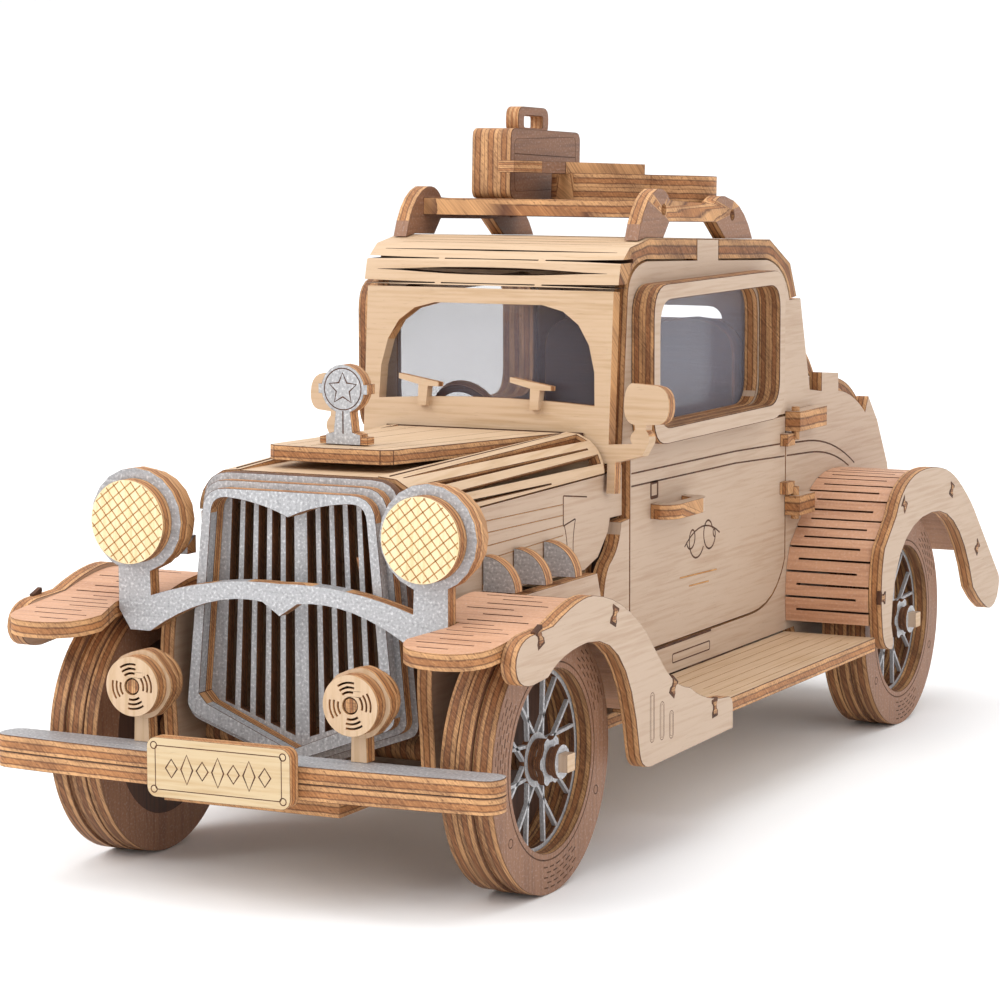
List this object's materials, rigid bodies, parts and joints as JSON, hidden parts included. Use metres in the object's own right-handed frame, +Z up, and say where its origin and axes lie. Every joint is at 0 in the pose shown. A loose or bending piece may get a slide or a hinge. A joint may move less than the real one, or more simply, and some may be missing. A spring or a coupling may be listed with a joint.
{
  "type": "wooden 3d puzzle car",
  "caption": "Laser-cut plywood 3D puzzle of a vintage coupe with turning wheels, opening doors, spoked rims, layered radiator, curved fenders and a roof rack with a suitcase and a guitar.",
  "frame": {"origin": "middle of the object's outline, on the ground under the tyres", "axes": "+Z up, the car faces -Y, +X is the car's left side"},
  "size_m": [0.0692, 0.1844, 0.093],
  "materials": {
    "bare_wood": "matte",
    "cut_edge_wood": "matte",
    "painted_silver": "satin",
    "painted_copper": "matte",
    "painted_brown": "matte",
    "clear_pane": "gloss"
  },
  "bodies": {
    "body": {"floor_plate": "bare_wood", "side_panel_right": "bare_wood", "side_panel_left": "bare_wood", "windshield_pane": "clear_pane", "hood_top": "bare_wood", "hood_lid": "bare_wood", "hood_side_right": "bare_wood", "hood_side_left": "bare_wood", "hood_ornament": "painted_silver", "exhaust_vents_right": "painted_silver", "exhaust_vents_left": "painted_silver", "radiator_front": "painted_silver", "radiator_middle": "painted_silver", "grille_plate": "painted_silver", "headlamp_bar": "painted_silver", "headlamp_lens_right": "bare_wood", "headlamp_lens_left": "bare_wood", "fog_lamp_right": "bare_wood", "fog_lamp_left": "bare_wood", "bumper_lower": "cut_edge_wood", "bumper_upper": "painted_silver", "number_plate": "bare_wood", "front_fender_side_right": "bare_wood", "front_fender_side_left": "bare_wood", "rear_fender_side_right": "bare_wood", "rear_fender_side_left": "bare_wood", "running_board_right": "bare_wood", "running_board_left": "bare_wood", "front_fender_skin_right": "painted_copper", "front_fender_skin_left": "painted_copper", "rear_fender_skin_right": "painted_copper", "rear_fender_skin_left": "painted_copper", "windshield_plate": "bare_wood", "roof_panel": "bare_wood", "back_panel": "bare_wood", "trunk_lid": "bare_wood", "tail_skin": "bare_wood", "dash_board": "bare_wood", "seat": "painted_brown", "roof_rack": "painted_copper", "suitcase": "painted_copper", "guitar": "painted_copper"},
    "front_wheels": {"front_axle": "bare_wood", "front_tyre_right": "painted_copper", "front_tyre_left": "painted_copper", "front_spokes_right": "painted_silver", "front_spokes_left": "painted_silver"},
    "rear_wheels": {"rear_axle": "bare_wood", "rear_tyre_right": "painted_copper", "rear_tyre_left": "painted_copper", "rear_spokes_right": "painted_silver", "rear_spokes_left": "painted_silver"},
    "door_left": {"door_panel_left": "bare_wood", "door_window_frame_left": "bare_wood", "door_pane_left": "clear_pane"},
    "door_right": {"door_panel_right": "bare_wood", "door_window_frame_right": "bare_wood", "door_pane_right": "clear_pane"},
    "steering": {"steering_wheel": "cut_edge_wood"}
  },
  "joints": [
    {"name": "front_axle_spin", "type": "hinge", "parent": "body", "child": "front_wheels", "pos_m": [0, -0.06582, 0.016], "axis": [1, 0, 0], "continuous": true},
    {"name": "rear_axle_spin", "type": "hinge", "parent": "body", "child": "rear_wheels", "pos_m": [0, 0.05647, 0.016], "axis": [1, 0, 0], "continuous": true},
    {"name": "door_left_hinge", "type": "hinge", "parent": "body", "child": "door_left", "pos_m": [0.02, 0.03818, 0.04], "axis": [0, 0, 1], "range_deg": [0, 60]},
    {"name": "door_right_hinge", "type": "hinge", "parent": "body", "child": "door_right", "pos_m": [-0.02, 0.03818, 0.04], "axis": [0, 0, -1], "range_deg": [0, 60]},
    {"name": "steering_spin", "type": "hinge", "parent": "body", "child": "steering", "pos_m": [-0.0094, -0.01033, 0.0512], "axis": [0, 0.9135, 0.4067], "continuous": true}
  ]
}
